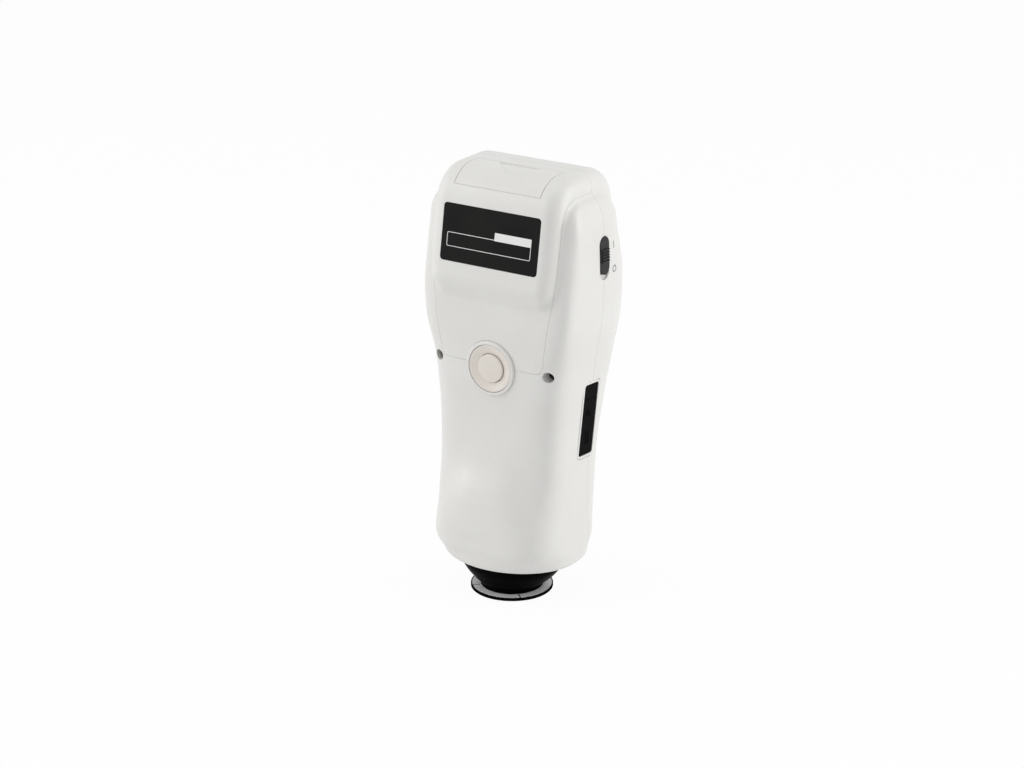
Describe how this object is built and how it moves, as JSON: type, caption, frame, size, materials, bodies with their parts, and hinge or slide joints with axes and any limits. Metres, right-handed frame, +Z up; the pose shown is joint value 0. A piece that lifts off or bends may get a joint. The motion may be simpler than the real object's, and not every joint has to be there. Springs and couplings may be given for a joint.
{
  "type": "handheld colorimeter",
  "caption": "Handheld colour-measuring instrument standing on a round measuring nose, with rear hump, thumb test button, side power switch, port cover, screen and keys.",
  "frame": {"origin": "on the measuring axis in the plane of the foot ring's underside", "axes": "+Z up along the measuring axis away from the sample, +Y towards the hump and test button at the back, -Y towards the screen, -X towards the power switch and the port cover"},
  "size_m": [0.0929, 0.0848, 0.2304],
  "materials": {
    "housing_white": "fine satin moulded plastic",
    "button_cream": "satin moulded plastic",
    "plate_black": "matt printed film plate",
    "black_plastic": "satin moulded plastic",
    "black_rubber": "matt moulded rubber",
    "locator_metal": "satin turned metal",
    "screw_steel": "plated steel",
    "screw_black": "black-oxide steel",
    "clear_window": "clear polished",
    "display_black": "glossy display glass",
    "board_green": "solder-masked board",
    "inner_black": "matt moulded plastic",
    "socket_metal": "plated sheet steel",
    "contact_brass": "plated spring brass",
    "battery_wrap": "shrink-wrapped film",
    "inner_grey": "matt moulded plastic",
    "sphere_white": "diffuse white coating",
    "base_metal": "machined metal",
    "key_grey": "matt moulded key"
  },
  "bodies": {
    "housing": {"front_shell": "housing_white", "rear_shell": "housing_white", "rear_cover": "housing_white", "data_plate": "plate_black", "test_button_bezel": "housing_white", "test_button_ring": "button_cream", "button_board": "board_green", "case_screws": "screw_black", "power_switch_body": "inner_black", "port_frame": "housing_white", "port_cover_anchor": "black_rubber", "dc_socket": "inner_black", "usb_socket": "socket_metal", "port_board": "board_green", "display_window": "clear_window", "display_gasket": "black_rubber", "display_module": "display_black", "key_membrane": "black_rubber", "key_board": "board_green", "main_board": "board_green", "board_screws": "screw_steel", "sounder": "inner_black", "battery_tray": "inner_grey", "battery_pack": "battery_wrap", "battery_contacts": "contact_brass", "nose_cone": "black_plastic", "locating_plate": "locator_metal", "foot_ring": "black_rubber", "optical_base": "base_metal", "sphere_lower": "sphere_white", "sphere_upper": "sphere_white", "sphere_screws": "screw_steel", "lamp_board": "board_green", "lens_barrel": "inner_black", "lens": "clear_window", "sensor_block": "inner_black", "sensor_board": "board_green"},
    "battery_door": {"battery_door": "housing_white"},
    "test_button": {"test_button": "button_cream"},
    "power_switch_knob": {"power_switch_knob": "black_plastic"},
    "port_cover_flap": {"port_cover_flap": "black_rubber"},
    "menu_key": {"menu_key": "key_grey"},
    "back_key": {"back_key": "key_grey"},
    "enter_key": {"enter_key": "key_grey"},
    "up_key": {"up_key": "key_grey"},
    "down_key": {"down_key": "key_grey"}
  },
  "joints": [
    {"name": "battery_door_slide", "type": "slide", "parent": "housing", "child": "battery_door", "axis": [0, 0.9798, -0.1998], "range_m": [0, 0.026]},
    {"name": "test_button_press", "type": "slide", "parent": "housing", "child": "test_button", "axis": [0, -1, 0], "range_m": [0, 0.0012], "stiffness_N_per_m": 1000},
    {"name": "power_switch_slide", "type": "slide", "parent": "housing", "child": "power_switch_knob", "axis": [-0.0337, 0, -0.9994], "range_m": [0, 0.0026]},
    {"name": "port_cover_hinge", "type": "hinge", "parent": "housing", "child": "port_cover_flap", "pos_m": [-0.03877, -0.01506, 0.10934], "axis": [-0.0044, 0.9964, 0.0845], "range_deg": [0, 110]},
    {"name": "menu_key_press", "type": "slide", "parent": "housing", "child": "menu_key", "axis": [0, 0.9873, 0.1586], "range_m": [0, 0.0008], "stiffness_N_per_m": 900},
    {"name": "back_key_press", "type": "slide", "parent": "housing", "child": "back_key", "axis": [0, 0.9873, 0.1586], "range_m": [0, 0.0008], "stiffness_N_per_m": 900},
    {"name": "enter_key_press", "type": "slide", "parent": "housing", "child": "enter_key", "axis": [0, 0.9873, 0.1586], "range_m": [0, 0.0008], "stiffness_N_per_m": 900},
    {"name": "up_key_press", "type": "slide", "parent": "housing", "child": "up_key", "axis": [0, 0.9873, 0.1586], "range_m": [0, 0.0008], "stiffness_N_per_m": 900},
    {"name": "down_key_press", "type": "slide", "parent": "housing", "child": "down_key", "axis": [0, 0.9873, 0.1586], "range_m": [0, 0.0008], "stiffness_N_per_m": 900}
  ]
}
